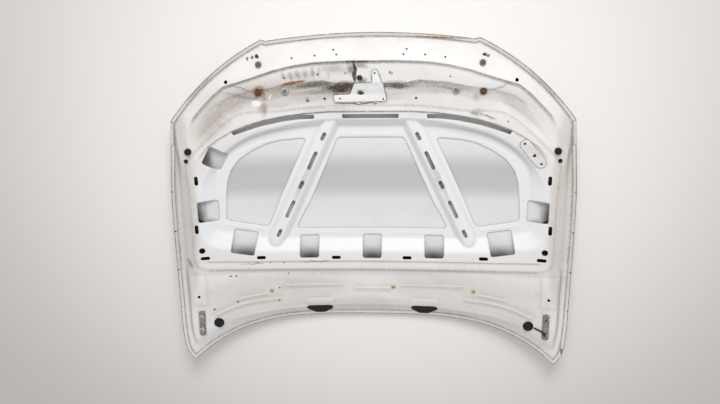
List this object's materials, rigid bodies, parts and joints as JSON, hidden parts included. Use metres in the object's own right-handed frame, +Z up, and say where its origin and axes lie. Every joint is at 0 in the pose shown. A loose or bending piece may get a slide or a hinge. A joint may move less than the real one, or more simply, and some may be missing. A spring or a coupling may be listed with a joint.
{
  "type": "car bonnet",
  "caption": "Used steel car bonnet lying on its outer skin, with its pressed inner panel, hinge pads, latch striker, stops and plugs.",
  "frame": {"origin": "Middle of the underside of the bounding box: the plane that the crowned outer skin rests on", "axes": "+X across the bonnet towards the prop rod bracket's side, +Y towards the front edge, +Z up, out of the inner side"},
  "size_m": [1.378, 1.152, 0.0998],
  "materials": {
    "white_paint": "used white gloss paint",
    "bright_paint": "clean white paint",
    "bare_metal": "bare steel, dull",
    "rusty_metal": "rusty steel",
    "black_rubber": "matt",
    "grey_rubber": "matt",
    "grey_plastic": "matt",
    "yellow_plastic": "pale yellow",
    "mastic": "dried mastic"
  },
  "bodies": {
    "root": {"outer_skin": "white_paint", "inner_panel": "white_paint", "striker_plate": "bright_paint", "latch_reinforcement": "white_paint", "prop_rod_bracket": "white_paint", "hinge_pad_left": "bare_metal", "hinge_pad_right": "bare_metal", "hinge_reinforcement_left": "white_paint", "hinge_reinforcement_right": "white_paint", "hinge_bolt_front": "bare_metal", "hinge_bolt_rear": "bare_metal", "front_stop_left": "grey_rubber", "front_stop_right": "grey_rubber", "side_stop_left": "black_rubber", "side_stop_right": "black_rubber", "side_plug_left": "grey_rubber", "side_plug_right": "grey_rubber", "beam_bolt_left": "rusty_metal", "beam_bolt_right": "rusty_metal", "beam_plug_left": "grey_plastic", "beam_plug_right": "grey_plastic", "rear_plug_left": "black_rubber", "rear_plug_right": "black_rubber", "washer_cap_left": "black_rubber", "washer_cap_right": "black_rubber", "hem_pad_left": "white_paint", "hem_pad_right": "white_paint", "mastic_front_left": "mastic", "mastic_front_right": "mastic", "mastic_side_left": "mastic", "mastic_side_right": "mastic", "mastic_rear_left": "mastic", "mastic_rear_right": "mastic", "clip_left": "yellow_plastic", "clip_centre": "yellow_plastic", "clip_right": "yellow_plastic", "ground_lead": "black_rubber"}
  },
  "joints": []
}
